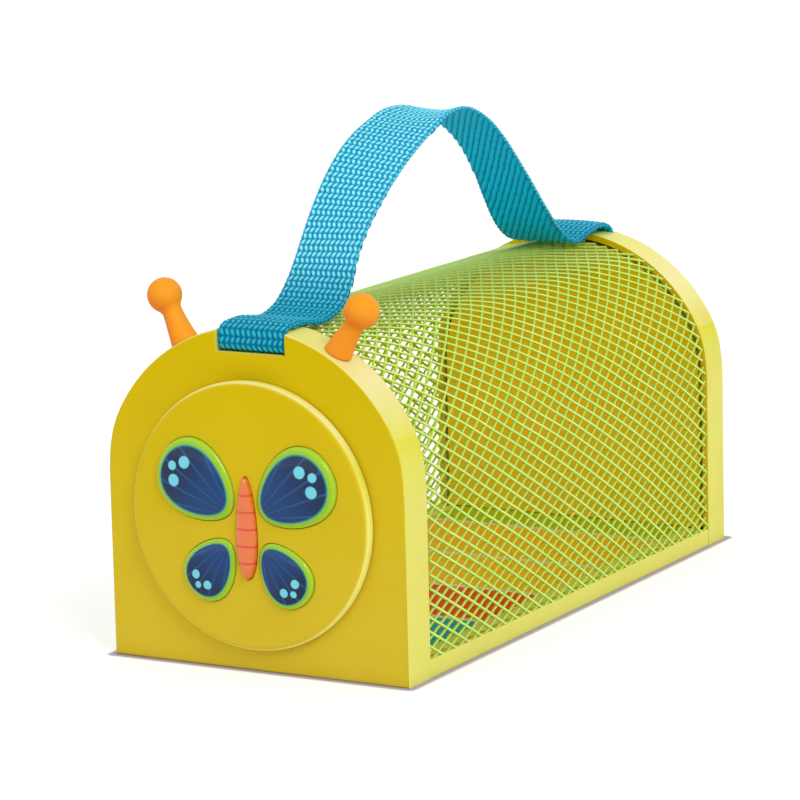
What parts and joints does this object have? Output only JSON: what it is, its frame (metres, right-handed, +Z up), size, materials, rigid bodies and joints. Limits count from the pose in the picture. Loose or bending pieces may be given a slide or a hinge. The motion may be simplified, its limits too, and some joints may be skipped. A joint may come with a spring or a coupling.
{
  "type": "bug house",
  "caption": "Small bug cage: wire mesh walls and arched roof between moulded ends, a webbing carry strap, peg antennae, and a round front door that swings aside on a pin.",
  "frame": {"origin": "on the surface it stands on, at the middle of the whole length (door and inserts included) and width", "axes": "+Z up, the door and antennae towards -Y, the long axis of the cabin along Y"},
  "size_m": [0.112, 0.2478, 0.1712],
  "materials": {
    "shell": "satin moulded yellow",
    "base": "satin moulded yellow",
    "liner": "satin moulded gold yellow",
    "mat": "printed card with plain cross stripes",
    "mesh": "light green coated wire",
    "strap": "woven polypropylene webbing",
    "antenna": "satin orange",
    "door": "satin moulded yellow",
    "wing": "glossy dome, blue with a green rim",
    "insert_body": "glossy dome, orange",
    "clamp": "plain white moulding",
    "steel": "zinc-plated screw"
  },
  "bodies": {
    "house": {"front_shell": "shell", "back_shell": "shell", "front_liner": "liner", "back_liner": "liner", "front_strap_clamp": "clamp", "back_strap_clamp": "clamp", "front_clamp_screw_left": "steel", "front_clamp_screw_right": "steel", "back_clamp_screw_left": "steel", "back_clamp_screw_right": "steel", "front_base_screw_left": "steel", "front_base_screw_right": "steel", "back_base_screw_left": "steel", "back_base_screw_right": "steel", "base_tray": "base", "floor_mat": "mat", "mesh_left_wall": "mesh", "mesh_right_wall": "mesh", "mesh_roof_1": "mesh", "mesh_roof_2": "mesh", "mesh_roof_3": "mesh", "mesh_roof_4": "mesh", "mesh_roof_5": "mesh", "mesh_roof_6": "mesh", "mesh_roof_7": "mesh", "strap": "strap", "antenna_left": "antenna", "antenna_right": "antenna"},
    "door": {"door_disc": "door", "wing_upper_left": "wing", "wing_upper_right": "wing", "wing_lower_left": "wing", "wing_lower_right": "wing", "butterfly_body": "insert_body", "door_cap": "clamp", "door_screw": "steel"}
  },
  "joints": [
    {"name": "door_swing", "type": "hinge", "parent": "house", "child": "door", "pos_m": [0, -0.11505, 0.0906], "axis": [0, 1, 0], "range_deg": [-110, 110]}
  ]
}
